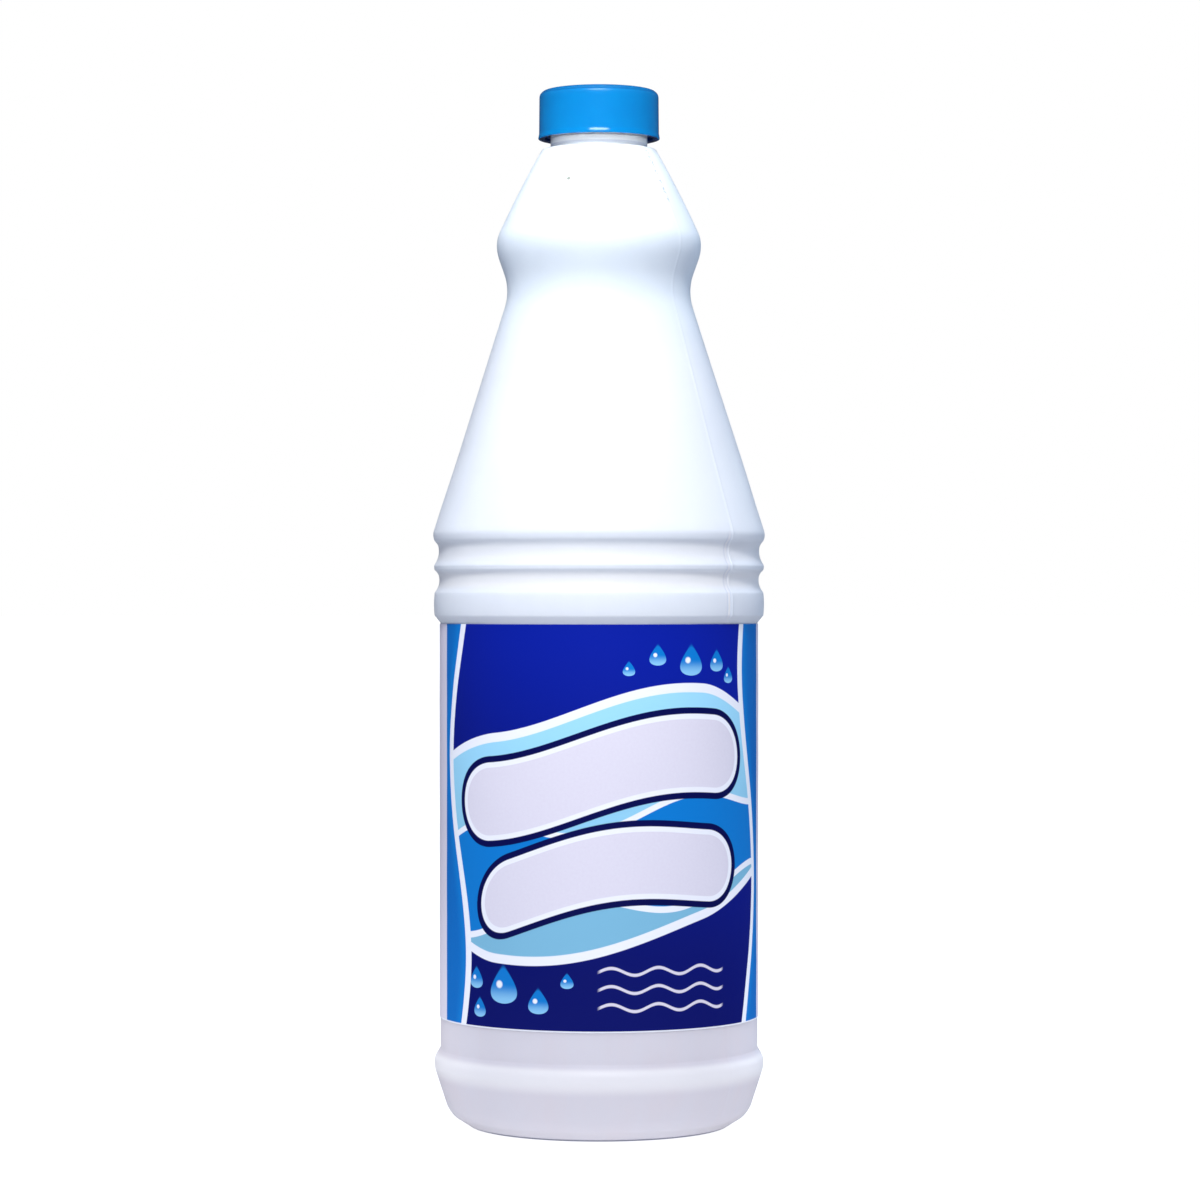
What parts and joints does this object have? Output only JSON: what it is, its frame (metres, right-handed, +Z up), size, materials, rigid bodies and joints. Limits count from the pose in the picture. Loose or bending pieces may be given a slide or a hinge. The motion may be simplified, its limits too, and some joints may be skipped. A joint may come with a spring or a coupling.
{
  "type": "bleach bottle",
  "caption": "Round white plastic bleach bottle with a ribbed shoulder, a waisted grip below the neck, a wrap-round label and a lined screw cap; stores and pours liquid.",
  "frame": {"origin": "centre of the foot ring, on the surface that the bottle stands on", "axes": "+Z up the bottle's axis to the cap, -Y out of the label's front, +X to the right seen from the front"},
  "size_m": [0.086, 0.0858, 0.267],
  "materials": {
    "bottle_plastic": "satin white blow-moulded polyethylene",
    "label_film": "glossy printed film",
    "cap_plastic": "smooth blue moulded polypropylene",
    "liner_foam": "soft white foam"
  },
  "bodies": {
    "bottle": {"bottle": "bottle_plastic", "label": "label_film"},
    "seal": {"cap_liner": "liner_foam"},
    "cap": {"cap": "cap_plastic"}
  },
  "joints": [
    {"name": "cap_lift", "type": "slide", "parent": "bottle", "child": "seal", "axis": [0, 0, 1], "range_m": [0, 0.0128]},
    {"name": "cap_turn", "type": "hinge", "parent": "seal", "child": "cap", "pos_m": [0, 0, 0.2643], "axis": [0, 0, 1], "range_deg": [0, 1080]}
  ],
  "couplings": [
    {"joint": "cap_lift", "follows": "cap_turn", "m_per_rad": 0.0006737}
  ]
}
